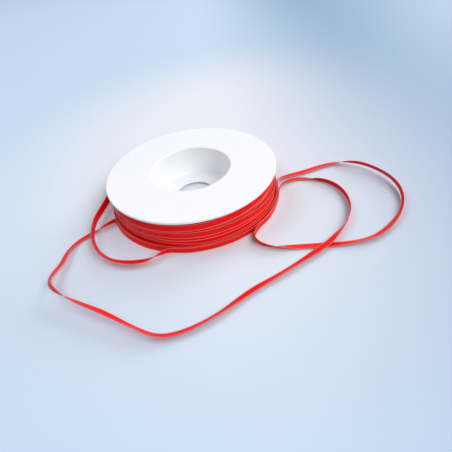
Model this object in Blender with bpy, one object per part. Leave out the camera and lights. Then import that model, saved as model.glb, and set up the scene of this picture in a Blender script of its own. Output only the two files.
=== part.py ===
"""Flat reel of narrow satin ribbon, lying on a table with its outer turns sprung loose.

Metres, +Z up. The origin is on the table, on the reel's axis. Two white mouldings make the reel:
the upper flange with its deep hub cup, and the lower flange, whose collar snaps round the cup.
One length of ribbon fills the space between them. Its outer layer is wound as one band whose
turns lap like roof tiles, and the loose end runs on round the reel and out over the table.
"""
from math import cos, pi, radians, sin, tan

import bpy
import numpy as np

# ---------------------------------------------------------------- driving dimensions
# Ribbon
RIBBON_WIDTH = 0.0030
RIBBON_THICKNESS = 0.0003

# Upper moulding: flange, hub wall and hub floor
FLANGE_RADIUS = 0.0400
FLANGE_THICKNESS = 0.0012
FLANGE_EDGE_ROUND = 0.00025
REEL_HEIGHT = 0.0157
HUB_MOUTH_RADIUS = 0.0185
HUB_MOUTH_ROUND = 0.0008
HUB_WALL = 0.0012
HUB_DRAFT = 0.0003
HUB_FLOOR_THICKNESS = 0.0011
HUB_FLOOR_ROUND = 0.0010
SPINDLE_HOLE_RADIUS = 0.0088
SPINDLE_HOLE_ROUND = 0.0002
ROOT_ROUND = 0.0006

# Lower moulding: flange, snap collar and the lip that the hub stands on
LOWER_FLANGE_INSET = 0.0005  # how far its rim stays within the upper one
LOWER_FLANGE_THICKNESS = 0.0012
COLLAR_HEIGHT = 0.0045
COLLAR_WALL = 0.0010
LIP_THICKNESS = 0.0005
LIP_WIDTH = 0.0025
SNAP_HEIGHT = 0.0030
SNAP_BEAD = 0.00045
SNAP_HALF_HEIGHT = 0.0006

# Fits
SEAT_GAP = 0.0003          # between pieces that touch
STRAND_GAP = 0.0003        # between strands of ribbon that lie side by side
SEAM_GAP = 0.0003          # between the ends of two stretches of the ribbon
TABLE_GAP = 0.00002        # under a strand that stands on the table

# Winding: the outer layer, and the core that stands for the layers under it
TURNS = 5
TURN_POINTS = 24
WINDING_INSET = 0.0008     # middle of the band, in from the lower flange's rim
WINDING_LEAN = radians(20)  # upper edge outwards
STEP_FROM = radians(60)    # at the back, each turn steps down to the next between these azimuths
STEP_TO = radians(120)
WINDING_START = radians(130)
WINDING_EXIT = radians(40)
CORE_CHAMFER = 0.0005

# Finishes: white moulded plastic, and red satin that differs a little between the strands
PLASTIC_WHITE = (0.90, 0.91, 0.93)
PLASTIC_ROUGHNESS = 0.38
CORE_RED = (0.52, 0.012, 0.012)
WINDING_RED = (0.66, 0.016, 0.016)
LOOSE_TURN_RED = (0.72, 0.018, 0.018)
LEFT_LOOP_RED = (0.74, 0.019, 0.019)
RIGHT_LOOP_RED = (0.76, 0.020, 0.020)
FRONT_STRAND_RED = (0.78, 0.022, 0.022)
SATIN_ROUGHNESS = 0.42

# Facets
ROUND_STEPS = 72
ARC_STEP = 0.00035         # along a rounded corner, which has at least LEAST_ARC_STEPS
LEAST_ARC_STEPS = 2
RIBBON_STEP = 0.0080       # between points along a free strand, at most
HUG_STEP = radians(10)     # between points of a strand that hugs the lower flange

MM = 0.001

# ---------------------------------------------------------------- derived sizes
HUB_OUTER_RADIUS = HUB_MOUTH_RADIUS + HUB_WALL
HUB_FLOOR_UNDERSIDE = LIP_THICKNESS + SEAT_GAP
HUB_FLOOR_TOP = HUB_FLOOR_UNDERSIDE + HUB_FLOOR_THICKNESS
FLANGE_UNDERSIDE = REEL_HEIGHT - FLANGE_THICKNESS
COLLAR_BORE = HUB_OUTER_RADIUS + SEAT_GAP
COLLAR_OUTER = COLLAR_BORE + COLLAR_WALL

LOWER_FLANGE_RADIUS = FLANGE_RADIUS - LOWER_FLANGE_INSET
WINDING_RADIUS = LOWER_FLANGE_RADIUS - WINDING_INSET
BAND_HALF_HEIGHT = RIBBON_WIDTH / 2 * cos(WINDING_LEAN) + RIBBON_THICKNESS / 2 * sin(WINDING_LEAN)
BAND_HALF_DEPTH = RIBBON_WIDTH / 2 * sin(WINDING_LEAN) + RIBBON_THICKNESS / 2 * cos(WINDING_LEAN)
LOWEST_TURN = LOWER_FLANGE_THICKNESS + SEAT_GAP + BAND_HALF_HEIGHT
HIGHEST_TURN = FLANGE_UNDERSIDE - SEAT_GAP - BAND_HALF_HEIGHT
TURN_PITCH = (HIGHEST_TURN - LOWEST_TURN) / (TURNS - 1)
CORE_RADIUS = WINDING_RADIUS * cos(pi / TURN_POINTS) - BAND_HALF_DEPTH - SEAT_GAP

# A strand that hugs the lower flange stands on its edge in one of a few lanes round it. Its
# points lie at the same azimuths in every lane, so that the strands' facets run parallel.
STANDING = RIBBON_WIDTH / 2 + TABLE_GAP
FIRST_LANE = (LOWER_FLANGE_RADIUS + SEAT_GAP + RIBBON_THICKNESS / 2) / cos(HUG_STEP / 2)
LANE_PITCH = (RIBBON_THICKNESS + STRAND_GAP) / cos(HUG_STEP / 2)


# ---------------------------------------------------------------- materials
def plain_material(name, color, roughness):
    """A Principled material of one colour and roughness, with no metal in it."""
    material = bpy.data.materials.new(name)
    material.use_nodes = True
    shader = material.node_tree.nodes["Principled BSDF"]
    shader.inputs["Base Color"].default_value = (*color, 1.0)
    shader.inputs["Roughness"].default_value = roughness
    shader.inputs["Metallic"].default_value = 0.0
    material.diffuse_color = (*color, 1.0)
    return material


# ---------------------------------------------------------------- turned mouldings
def unit(vector):
    return vector / np.linalg.norm(vector)


def rounded_outline(corners):
    """Points of a closed outline from (radius, height, round) corners, each corner an arc.

    An arc meets both its sides at a tangent, so it starts round * tan(half the turn) back
    from the corner and is centred on the corner's bisector.
    """
    count = len(corners)
    points = []
    for i, (r, z, fillet) in enumerate(corners):
        here = np.array([r, z])
        if fillet == 0.0:
            points.append(here)
            continue
        before = unit(np.array(corners[i - 1][:2]) - here)
        after = unit(np.array(corners[(i + 1) % count][:2]) - here)
        half_angle = np.arccos(np.clip(before @ after, -1.0, 1.0)) / 2
        setback = fillet / tan(half_angle)
        start = here + before * setback
        end = here + after * setback
        centre = here + unit(before + after) * fillet / sin(half_angle)
        swept = pi - 2 * half_angle
        steps = max(LEAST_ARC_STEPS, round(fillet * swept / ARC_STEP))
        for share in np.linspace(0.0, 1.0, steps + 1):
            spoke = sin((1 - share) * swept) * (start - centre) + sin(share * swept) * (end - centre)
            points.append(centre + spoke / sin(swept))
    return points


def turned(name, corners, color, roughness):
    """A solid of revolution: the outline runs clockwise, so down on its outer side."""
    points = rounded_outline(corners)
    count = len(points)
    mesh = bpy.data.meshes.new(name)
    mesh.from_pydata([(r, 0.0, z) for r, z in points],
                     [(i, (i + 1) % count) for i in range(count)], [])
    piece = bpy.data.objects.new(name, mesh)
    bpy.context.scene.collection.objects.link(piece)
    screw = piece.modifiers.new("turn", "SCREW")
    screw.angle = 2 * pi
    screw.steps = ROUND_STEPS
    screw.render_steps = ROUND_STEPS
    screw.use_merge_vertices = True
    screw.merge_threshold = 0.01 * MM
    screw.use_smooth_shade = True
    mesh.materials.append(plain_material(name + "_finish", color, roughness))
    return piece


def upper_flange():
    """Upper moulding: flat flange, deep hub cup with drafted wall, floor and spindle hole."""
    edge = FLANGE_EDGE_ROUND
    snap = SNAP_HALF_HEIGHT
    corners = [
        (SPINDLE_HOLE_RADIUS, HUB_FLOOR_TOP, SPINDLE_HOLE_ROUND),
        (HUB_MOUTH_RADIUS - HUB_DRAFT, HUB_FLOOR_TOP, HUB_FLOOR_ROUND),
        (HUB_MOUTH_RADIUS, REEL_HEIGHT, HUB_MOUTH_ROUND),
        (FLANGE_RADIUS, REEL_HEIGHT, edge),
        (FLANGE_RADIUS, FLANGE_UNDERSIDE, edge),
        (HUB_OUTER_RADIUS, FLANGE_UNDERSIDE, ROOT_ROUND),
        (HUB_OUTER_RADIUS, SNAP_HEIGHT + snap, 0.0),
        (HUB_OUTER_RADIUS + SNAP_BEAD, SNAP_HEIGHT, 0.0),
        (HUB_OUTER_RADIUS, SNAP_HEIGHT - snap, 0.0),
        (HUB_OUTER_RADIUS, HUB_FLOOR_UNDERSIDE, edge),
        (SPINDLE_HOLE_RADIUS, HUB_FLOOR_UNDERSIDE, SPINDLE_HOLE_ROUND),
    ]
    return turned("upper_flange", corners, PLASTIC_WHITE, PLASTIC_ROUGHNESS)


def lower_flange():
    """Lower moulding: flange, collar with a snap groove inside, and a lip under the hub."""
    edge = FLANGE_EDGE_ROUND
    snap = SNAP_HALF_HEIGHT
    corners = [
        (COLLAR_BORE, LIP_THICKNESS, 0.0),
        (COLLAR_BORE, SNAP_HEIGHT - snap, 0.0),
        (COLLAR_BORE + SNAP_BEAD, SNAP_HEIGHT, 0.0),
        (COLLAR_BORE, SNAP_HEIGHT + snap, 0.0),
        (COLLAR_BORE, COLLAR_HEIGHT, edge),
        (COLLAR_OUTER, COLLAR_HEIGHT, edge),
        (COLLAR_OUTER, LOWER_FLANGE_THICKNESS, ROOT_ROUND),
        (LOWER_FLANGE_RADIUS, LOWER_FLANGE_THICKNESS, edge),
        (LOWER_FLANGE_RADIUS, 0.0, edge),
        (COLLAR_BORE - LIP_WIDTH, 0.0, 0.0),
        (COLLAR_BORE - LIP_WIDTH, LIP_THICKNESS, 0.0),
    ]
    return turned("lower_flange", corners, PLASTIC_WHITE, PLASTIC_ROUGHNESS)


def ribbon_core():
    """The layers of ribbon under the outer one: a plain ring that fits the hub and collar."""
    inner = HUB_OUTER_RADIUS + SEAT_GAP
    over_collar = COLLAR_OUTER + SEAT_GAP
    step = COLLAR_HEIGHT + SEAT_GAP
    bottom = LOWER_FLANGE_THICKNESS + SEAT_GAP
    top = FLANGE_UNDERSIDE - SEAT_GAP
    chamfer = CORE_CHAMFER
    corners = [
        (inner, step, 0.0),
        (inner, top - chamfer, 0.0),
        (inner + chamfer, top, 0.0),
        (CORE_RADIUS, top, 0.0),
        (CORE_RADIUS, bottom, 0.0),
        (over_collar + chamfer, bottom, 0.0),
        (over_collar, bottom + chamfer, 0.0),
        (over_collar, step, 0.0),
    ]
    return turned("ribbon_core", corners, CORE_RED, SATIN_ROUGHNESS)


# ---------------------------------------------------------------- ribbon
def ribbon_band(name, points, leans, color):
    """A flat ribbon along a path, from a curve that is extruded to the ribbon's width.

    points is an array of middles. A lean of 0 stands the ribbon on its edge, and a positive
    lean tips its upper edge to the left of the way the path runs.
    """
    curve = bpy.data.curves.new(name, "CURVE")
    curve.dimensions = "3D"
    curve.twist_mode = "Z_UP"
    curve.extrude = (RIBBON_WIDTH - RIBBON_THICKNESS) / 2
    curve.bevel_depth = RIBBON_THICKNESS / 2
    curve.bevel_resolution = 1
    curve.use_fill_caps = True
    spline = curve.splines.new("POLY")
    spline.points.add(len(points) - 1)
    spline.use_smooth = True
    for place, middle, lean in zip(spline.points, points, leans):
        place.co = (*middle, 1.0)
        place.tilt = -lean
    piece = bpy.data.objects.new(name, curve)
    bpy.context.scene.collection.objects.link(piece)
    curve.materials.append(plain_material(name + "_finish", color, SATIN_ROUGHNESS))
    return piece


def winding_place(turned_by):
    """Middle of the wound band after an angle of winding, counter-clockwise from its start.

    The band keeps level all round, then eases down one pitch over the stretch at the back:
    the ease is 3s^2 - 2s^3 of its share s of that stretch.
    """
    azimuth = WINDING_START + turned_by
    laps = np.floor((azimuth - STEP_FROM) / (2 * pi))
    share = (azimuth - STEP_FROM - 2 * pi * laps) / (STEP_TO - STEP_FROM)
    share = np.clip(share, 0.0, 1.0)
    steps_down = laps + share * share * (3 - 2 * share) - 1
    height = HIGHEST_TURN - TURN_PITCH * steps_down
    return np.stack([WINDING_RADIUS * np.cos(azimuth), WINDING_RADIUS * np.sin(azimuth), height], -1)


def across(points, lean):
    """Unit vectors across the ribbon's width and out of its face, at each point of a path."""
    along = np.gradient(points, axis=0)
    along /= np.linalg.norm(along, axis=1)[:, None]
    left = np.cross([0.0, 0.0, 1.0], along)
    left /= np.linalg.norm(left, axis=1)[:, None]
    upright = np.cross(along, left)
    width = cos(lean) * upright + sin(lean) * left
    return width, np.cross(along, width)


def least_gap(points, lean, per_turn):
    """Least distance between the band's faces on turns that lie next to each other."""
    width, face = across(points, lean)
    shares = np.linspace(-0.5, 0.5, 9)
    surface = (points[:, None, None] + width[:, None, None] * (RIBBON_WIDTH * shares)[:, None, None]
               + face[:, None, None] * (RIBBON_THICKNESS * np.array([-0.5, 0.5]))[None, :, None])
    surface = surface.reshape(len(points), -1, 3)
    nearest = 1.0
    for i in range(len(points) - per_turn // 2):
        others = surface[i + per_turn // 2:].reshape(-1, 3)
        distance = np.linalg.norm(surface[i][:, None] - others[None], axis=2)
        nearest = min(nearest, distance.min())
    return nearest


def ribbon_winding():
    """Outer layer: five turns of one band, the upper edge of each lapping out over the next."""
    total = 2 * pi * TURNS - (WINDING_START - WINDING_EXIT)
    count = round(total / (2 * pi) * TURN_POINTS) + 1
    points = winding_place(np.linspace(0.0, total, count))
    gap = least_gap(points, -WINDING_LEAN, TURN_POINTS)
    print(f"ribbon_winding: {total / (2 * pi):.2f} turns, least gap to itself {gap / MM:.2f} mm")
    return ribbon_band("ribbon_winding", points, [-WINDING_LEAN] * count, WINDING_RED)


def polar(degrees, radius, height, lean=0.0):
    """A route point from its azimuth and its distance from the reel's axis."""
    return (radius * cos(radians(degrees)), radius * sin(radians(degrees)), height, lean)


def hugging(lane, start, stop):
    """Route points of a strand that stands against the lower flange, at every HUG_STEP."""
    radius = FIRST_LANE + lane * LANE_PITCH
    count = round(abs(radians(stop - start)) / HUG_STEP) + 1
    return [polar(angle, radius, STANDING) for angle in np.linspace(start, stop, count)]


def placed(rows):
    """Route points from rows of x, y, z in millimetres and the lean in degrees."""
    return [(x * MM, y * MM, z * MM, lean) for x, y, z, lean in rows]


def loose_turn_route():
    """From the winding's lowest turn over the lower rim, once round the reel, and off its back."""
    exit_angle = np.degrees(WINDING_EXIT + SEAM_GAP / WINDING_RADIUS)
    over_rim = [
        polar(exit_angle, WINDING_RADIUS, LOWEST_TURN, -np.degrees(WINDING_LEAN)),
        polar(48, WINDING_RADIUS + 0.2 * MM, LOWEST_TURN, -17),
        polar(60, WINDING_RADIUS + 1.4 * MM, LOWEST_TURN + 0.1 * MM, -6),
        polar(75, WINDING_RADIUS + 2.5 * MM, LOWEST_TURN),
        polar(95, WINDING_RADIUS + 2.6 * MM, 2.4 * MM),
        polar(115, WINDING_RADIUS + 2.1 * MM, 1.8 * MM),
        polar(135, FIRST_LANE + 0.3 * MM, STANDING + 0.05 * MM),
    ]
    off_back = [
        polar(12, FIRST_LANE + 0.4 * MM, STANDING),
        polar(26, FIRST_LANE + 1.6 * MM, STANDING),
        polar(42, FIRST_LANE + 3.4 * MM, STANDING),
        polar(58, FIRST_LANE + 5.0 * MM, STANDING),
    ]
    return over_rim + hugging(0, 150, 360) + off_back


def left_loop_route():
    """On behind the reel, out in a small loop at its left, and back against its front."""
    loop = placed([
        (9.0, 46.0, 1.6, 0), (-6.0, 46.6, 1.8, 3), (-20.5, 43.5, 2.1, 7), (-32.0, 35.3, 2.5, 12),
        (-39.8, 23.2, 2.8, 16), (-42.9, 11.0, 3.0, 19), (-43.9, 0.9, 3.0, 20), (-45.6, -6.5, 3.0, 18),
        (-47.1, -14.0, 3.0, 10), (-47.0, -21.0, 3.0, 3), (-44.9, -29.6, 3.2, -6), (-41.0, -36.6, 3.3, -14),
        (-35.3, -41.6, 2.9, -50), (-30.2, -43.5, 2.5, -72), (-25.0, -44.2, 2.3, -78),
        (-20.8, -43.6, 2.0, -70), (-17.6, -41.8, 1.8, -40), (-15.4, -40.0, 1.6, -12), (-11.9, -39.2, 1.55, 0),
    ])
    return loop + hugging(1, 260, 330)


def right_loop_route():
    """Off the reel's right side, out in the larger loop, and back beside the reel."""
    loop = placed([
        (38.6, -13.4, 2.1, 0), (39.8, -9.2, 2.8, -4), (40.8, -5.6, 3.7, -24), (42.6, -3.4, 4.3, -62),
        (46.5, -2.2, 4.3, -82), (55.1, -0.1, 4.5, -85), (63.9, 2.1, 4.8, -84), (71.0, 3.0, 5.0, -72),
        (77.0, 1.5, 5.5, -42), (81.5, -1.0, 5.7, -30), (85.3, -4.8, 5.6, -28), (88.7, -9.8, 5.3, -25),
        (91.4, -15.3, 4.6, -18), (92.4, -21.2, 3.6, -6), (91.2, -27.5, 2.6, 8), (87.8, -33.8, 1.9, 26),
        (83.2, -39.0, 1.3, 45), (77.8, -43.3, 1.0, 58), (72.4, -46.4, 0.9, 60), (66.4, -48.0, 0.9, 62),
        (59.9, -48.3, 0.6, 76), (53.6, -47.9, 0.35, 86), (47.2, -47.2, 0.3, 88), (40.8, -46.5, 0.4, 82),
        (34.6, -45.8, 0.8, 62), (29.4, -45.0, 1.4, 30), (25.4, -42.6, 1.55, 12), (23.9, -38.9, 1.55, 8),
        (24.9, -34.9, 1.55, 2),
    ])
    return loop + hugging(2, 310, 340)


def front_strand_route():
    """The smaller loop, the long strand across the front, and its cut end beside the reel."""
    return placed([
        (40.6, -8.6, 1.53, -8), (42.4, -4.6, 1.2, -42), (45.3, -1.4, 0.75, -66), (49.9, 0.1, 0.45, -80),
        (55.2, -0.6, 0.45, -80), (60.9, -3.7, 1.3, -34), (66.0, -8.9, 1.55, -14), (68.8, -15.8, 1.55, -8),
        (69.0, -23.8, 1.55, -4), (67.1, -30.8, 1.55, 2), (63.0, -37.3, 1.6, 20), (57.6, -42.8, 1.7, 52),
        (52.3, -47.4, 1.5, 74), (46.2, -51.0, 1.2, 72), (39.6, -54.5, 0.9, 60), (32.4, -58.4, 0.95, 55),
        (19.1, -65.0, 0.75, 70), (4.6, -73.9, 1.1, 50), (-2.0, -76.8, 1.0, 54), (-7.5, -78.4, 1.0, 58),
        (-12.6, -79.0, 1.25, 56), (-17.0, -78.2, 1.9, 48), (-21.3, -76.0, 2.6, 42), (-35.3, -67.4, 4.0, 54),
        (-46.4, -60.9, 4.2, 38), (-50.2, -58.3, 4.4, 20), (-53.5, -56.0, 4.8, -8), (-56.2, -53.3, 4.9, -28),
        (-57.8, -50.2, 4.5, -50), (-58.3, -46.0, 3.4, -70), (-56.9, -38.3, 2.0, -72),
        (-56.6, -32.9, 1.6, -68), (-55.6, -28.5, 1.0, -74), (-53.6, -24.8, 0.5, -82),
        (-50.5, -21.7, 0.4, -84), (-47.2, -19.7, 0.56, -76), (-43.4, -17.3, 1.45, -34),
        (-38.2, -14.1, 1.53, -14),
    ])


def smooth_route(route):
    """Points on one smooth curve through the route's own points, no more than a step apart.

    Between two route points the curve is a cubic, whose slope at each of them is the chord
    slopes on both sides, the nearer neighbour weighing more. Returns the points, and for each
    route point its place among them.
    """
    route = np.array(route)
    chord = np.linalg.norm(np.diff(route[:, :3], axis=0), axis=1)
    rise = np.diff(route, axis=0) / chord[:, None]
    slope = np.empty_like(route)
    slope[0] = rise[0]
    slope[-1] = rise[-1]
    weight = (chord[:-1] / (chord[:-1] + chord[1:]))[:, None]
    slope[1:-1] = rise[:-1] * (1 - weight) + rise[1:] * weight
    points = [route[:1]]
    places = [0]
    for i, span in enumerate(chord):
        steps = int(np.ceil(span / RIBBON_STEP))
        s = (np.arange(1, steps + 1) / steps)[:, None]
        points.append((1 + 2 * s) * (1 - s) ** 2 * route[i] + s * (1 - s) ** 2 * span * slope[i]
                      + s * s * (3 - 2 * s) * route[i + 1] + s * s * (s - 1) * span * slope[i + 1])
        places.append(places[-1] + steps)
    return np.concatenate(points), places


def free_ribbon():
    """The loose ribbon: one route from the winding to the cut end, in four stretches."""
    stretches = [
        ("ribbon_loose_turn", loose_turn_route(), LOOSE_TURN_RED),
        ("ribbon_left_loop", left_loop_route(), LEFT_LOOP_RED),
        ("ribbon_right_loop", right_loop_route(), RIGHT_LOOP_RED),
        ("ribbon_front_strand", front_strand_route(), FRONT_STRAND_RED),
    ]
    points, places = smooth_route([place for _, route, _ in stretches for place in route])
    first = 0
    for name, route, color in stretches:
        last = min(first + len(route), len(places) - 1)
        stretch = points[places[first]:places[last] + 1].copy()
        if first > 0:
            stretch[0, :3] += SEAM_GAP * unit(stretch[1, :3] - stretch[0, :3])
        length = np.linalg.norm(np.diff(stretch[:, :3], axis=0), axis=1).sum()
        print(f"{name}: {length / MM:.0f} mm, {len(stretch)} points")
        ribbon_band(name, stretch[:, :3], np.radians(stretch[:, 3]), color)
        first = last


def clear_scene():
    for old in list(bpy.data.objects):
        bpy.data.objects.remove(old, do_unlink=True)


def build():
    clear_scene()
    upper_flange()
    lower_flange()
    ribbon_core()
    ribbon_winding()
    free_ribbon()


build()
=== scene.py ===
# %% [markdown]
# # Dressing a reel of satin ribbon
#
# The CAD part gives the reel its true size: two white mouldings, a wound band and a loose
# ribbon, all as plain solids. This lesson puts smooth mouldings, a lapped winding and a soft
# twisting ribbon in their place, gives each its finish, and lights them like the photograph.
# We start by importing the CAD solids, setting each one's placement into its points, and dropping the
# rest of the import.

import bpy
import numpy as np
from mathutils import Matrix


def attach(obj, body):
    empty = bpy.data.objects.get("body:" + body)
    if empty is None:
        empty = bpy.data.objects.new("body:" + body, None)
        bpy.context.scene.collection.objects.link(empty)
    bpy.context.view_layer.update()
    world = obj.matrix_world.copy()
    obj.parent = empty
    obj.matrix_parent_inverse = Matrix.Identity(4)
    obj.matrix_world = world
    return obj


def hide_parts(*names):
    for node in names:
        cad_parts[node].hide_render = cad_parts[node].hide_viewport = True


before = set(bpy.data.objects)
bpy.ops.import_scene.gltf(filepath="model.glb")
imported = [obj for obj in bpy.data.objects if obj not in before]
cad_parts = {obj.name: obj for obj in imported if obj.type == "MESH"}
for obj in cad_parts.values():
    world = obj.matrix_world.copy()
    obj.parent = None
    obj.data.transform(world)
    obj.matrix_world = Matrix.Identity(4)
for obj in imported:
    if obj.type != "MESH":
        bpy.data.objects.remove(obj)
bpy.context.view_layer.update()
MM = 0.001

# %% [markdown]
# ## The camera
#
# The photograph was taken from close by, looking down at about 41 degrees, with the camera
# rolled a little so that the reel leans to the right. We build the camera's three axes from
# those two angles rather than aim it at a target, because a roll is then one plain number.

# %% Place the camera
PICTURE_WIDTH = 452           # pixels
FOCAL_LENGTH = 350            # pixels
SENSOR_WIDTH = 36.0           # millimetres
PITCH_DOWN = np.radians(41.30)
ROLL = np.radians(-7.98)
CAMERA_PLACE = np.array([12.701, -143.999, 102.418]) * MM


def camera_axes(pitch, roll):
    """Right, up and back axes: level axes tipped down by the pitch, then turned about the view."""
    right = np.array([1.0, 0.0, 0.0])
    up = np.array([0.0, np.sin(pitch), np.cos(pitch)])
    back = np.array([0.0, -np.cos(pitch), np.sin(pitch)])
    return (np.cos(roll) * right + np.sin(roll) * up,
            np.cos(roll) * up - np.sin(roll) * right, back)


camera_data = bpy.data.cameras.new("camera")
camera_data.sensor_width = SENSOR_WIDTH
camera_data.lens = FOCAL_LENGTH / PICTURE_WIDTH * SENSOR_WIDTH
camera_data.clip_start = 0.01
camera = bpy.data.objects.new("camera", camera_data)
bpy.context.scene.collection.objects.link(camera)
pose = np.eye(4)
pose[:3, :3] = np.stack(camera_axes(PITCH_DOWN, ROLL), axis=1)
pose[:3, 3] = CAMERA_PLACE
camera.matrix_world = Matrix(pose.tolist())
bpy.context.scene.camera = camera
print(f"camera: {camera_data.lens:.2f} mm lens, {CAMERA_PLACE[2] / MM:.0f} mm above the table")

# %% [markdown]
# ## From a grid of points to a piece
#
# Every new surface here is a grid: rows of points one way, columns the other. A moulding's
# grid closes both ways, like a tyre. A ribbon's grid closes round its section and needs a cap
# at each end. A box drawn by hand and then bevelled could make either, but a grid keeps every
# dimension a number, and its volume tells at once whether the faces point outwards.

# %% Grid to piece
def ring_faces(rows, columns, closed_rows):
    """Quads joining each point to its neighbours; columns close in a ring, rows if asked."""
    index = np.arange(rows * columns).reshape(rows, columns)
    here = index if closed_rows else index[:-1]
    after = np.roll(index, -1, axis=0) if closed_rows else index[1:]
    return np.stack([here, np.roll(here, -1, axis=1), np.roll(after, -1, axis=1), after],
                    axis=-1).reshape(-1, 4)


def cap_faces(first, columns):
    """Quads across a flat ring of points, from its two end points inwards like a ladder."""
    half = columns // 2
    rung = np.arange(half)
    left, right = first + rung, first + (columns - rung) % columns
    return np.stack([left, left + 1, np.roll(right, -1), right], axis=-1)[:half]


def volume(points, faces):
    """A closed mesh's volume: a third of the sum of each face's middle times its area vector."""
    a, b, c, d = (points[faces[:, i]] for i in range(4))
    area = np.cross(c - a, d - b) / 2
    return float(np.sum((a + b + c + d) / 4 * area) / 3)


def piece(name, points, faces, lay=None):
    """A smooth piece from points and quads; lay is where each point lies in the cloth, in mm."""
    points = points.reshape(-1, 3)
    held = volume(points, faces)
    if held < 0:
        faces = faces[:, ::-1]
    mesh = bpy.data.meshes.new(name)
    mesh.from_pydata(points.tolist(), [], faces.tolist())
    mesh.polygons.foreach_set("use_smooth", np.ones(len(faces), dtype=bool))
    if lay is not None:
        place = mesh.attributes.new("lay", "FLOAT_VECTOR", "POINT")
        place.data.foreach_set("vector", lay.astype(np.float32).ravel())
    mesh.validate()
    thing = bpy.data.objects.new(name, mesh)
    bpy.context.scene.collection.objects.link(thing)
    print(f"{name}: {len(faces) * 2} triangles, {abs(held) / MM ** 3:.0f} mm3")
    return thing

# %% [markdown]
# ## The ribbon's section
#
# The real ribbon is a 3 mm satin tape with a woven selvedge: a fine cord of tight weave
# along each edge, thicker than the cloth between. Off the reel the cloth also keeps a slight
# hollow, and that hollow is what makes one half of the strand light and the other half dark.
# A flat strip with a bump texture would show neither from the side, so both go into the mesh.

# %% Section of the ribbon
RIBBON_WIDTH = 3.0 * MM
CLOTH_HALF = 0.085 * MM       # half the thickness of the cloth
SELVEDGE_RADIUS = 0.13 * MM
SELVEDGE_ANGLES = np.radians([0, 40, 80, 120])
CLOTH_PLACES = np.array([0.78, 0.52, 0.26])   # shares of the half width


def ribbon_section():
    """Across and out positions round the section: a round bead at each edge, cloth between.

    The upper side runs from the right edge to the left one, the lower side back again.
    """
    half = RIBBON_WIDTH / 2
    bead = half - SELVEDGE_RADIUS + SELVEDGE_RADIUS * np.cos(SELVEDGE_ANGLES)
    x = np.concatenate([bead, CLOTH_PLACES * half, [0.0]])
    y = np.concatenate([SELVEDGE_RADIUS * np.sin(SELVEDGE_ANGLES),
                        np.full(len(CLOTH_PLACES) + 1, CLOTH_HALF)])
    x = np.concatenate([x, -x[-2::-1]])
    y = np.concatenate([y, y[-2::-1]])
    return np.concatenate([x, x[-2:0:-1]]), np.concatenate([y, -y[-2:0:-1]])


def path_frame(middle, lean):
    """Across and out directions at each point of a path.

    Along is the path's own direction; left is the up axis crossed with it. A lean of 0 stands
    the ribbon on edge, and a positive lean tips its upper edge to the left.
    """
    along = np.gradient(middle, axis=0)
    along /= np.linalg.norm(along, axis=1)[:, None]
    left = np.cross([0.0, 0.0, 1.0], along)
    left /= np.linalg.norm(left, axis=1)[:, None]
    upright = np.cross(along, left)
    across = np.cos(lean)[:, None] * upright + np.sin(lean)[:, None] * left
    return across, np.cross(along, across)


def length_along(middle):
    """Distance travelled to each point of a path."""
    return np.concatenate([[0.0], np.cumsum(np.linalg.norm(np.diff(middle, axis=0), axis=1))])


def swept_ribbon(name, middle, lean, hollow):
    """The section carried along a path, its middle sunk by the hollow and its edges raised.

    A point is middle + across x + out (y + hollow (x/half)^2 - hollow/3).
    """
    x, y = ribbon_section()
    across, out = path_frame(middle, lean)
    lift = y[None] + hollow[:, None] * ((x[None] / (RIBBON_WIDTH / 2)) ** 2 - 1 / 3)
    points = middle[:, None] + across[:, None] * x[None, :, None] + out[:, None] * lift[..., None]
    rows, columns = lift.shape
    faces = np.concatenate([ring_faces(rows, columns, False), cap_faces(0, columns)[:, ::-1],
                            cap_faces((rows - 1) * columns, columns)])
    lay = np.zeros((rows, columns, 3))
    lay[..., 0] = length_along(middle)[:, None] / MM
    lay[..., 1] = x[None] / MM
    lay[..., 2] = np.sign(y)[None]
    return piece(name, points, faces, lay)


x, y = ribbon_section()
print(f"section: {len(x)} points, {np.ptp(x) / MM:.2f} mm wide, {np.ptp(y) / MM:.2f} mm thick")

# %% [markdown]
# ## The loose ribbon
#
# It comes off the winding's highest turn behind the reel, runs down to the table, hugs the
# foot of the reel once, springs out in a small loop at the left and a larger one at the
# right, and crosses the front to its cut end. We write its route as points in millimetres,
# each with its lean, because satin this narrow twists as it turns: it stands on edge against
# the reel and lies nearly flat where it crosses the open table.

# %% The route of the loose ribbon
WINDING_RADIUS = 38.7         # millimetres from here to the end of this cell
HIGHEST_TURN = 12.739
STANDING = 1.52
EXIT_AZIMUTH = 40.0           # degrees
WINDING_LEAN = 20.0           # degrees, lower edge outwards


def polar(azimuth, radius, height, lean=0.0):
    """A route point from its azimuth in degrees and its distance from the reel's axis."""
    turn = np.radians(azimuth)
    return (radius * np.cos(turn), radius * np.sin(turn), height, lean)


# how far out each strand beside the reel stands, and how it leans, by azimuth
LANES = (
    ((160, 185, 215, 240, 248, 256, 300, 345, 360),
     (40.1, 40.5, 40.95, 40.9, 40.6, 40.4, 40.4, 40.2, 40.1), (0, 6, 15, 12, 4, -2, 0, 0, 0)),
    ((256, 280, 300, 318, 330, 340), (40.95, 40.9, 41.1, 41.2, 40.9, 40.7), (-4, -4, -8, -8, 0, 0)),
    ((310, 320, 330, 340), (41.9, 41.8, 41.5, 41.3), (0, 0, 0, 0)),
)


def hugging(lane, start, stop):
    """Route points every 10 degrees round the lower flange, on edge in one of the lanes.

    A strand that leans outwards keeps its lower edge where it stands.
    """
    azimuths = np.arange(start, stop + 1, 10.0)
    at, radii, leans = LANES[lane]
    foot, lean = np.interp(azimuths, at, radii), np.interp(azimuths, at, leans)
    outwards = -np.sin(np.radians(lean)) * STANDING
    return [polar(a, r, STANDING * np.cos(np.radians(l)), l)
            for a, r, l in zip(azimuths, foot + outwards, lean)]


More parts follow.
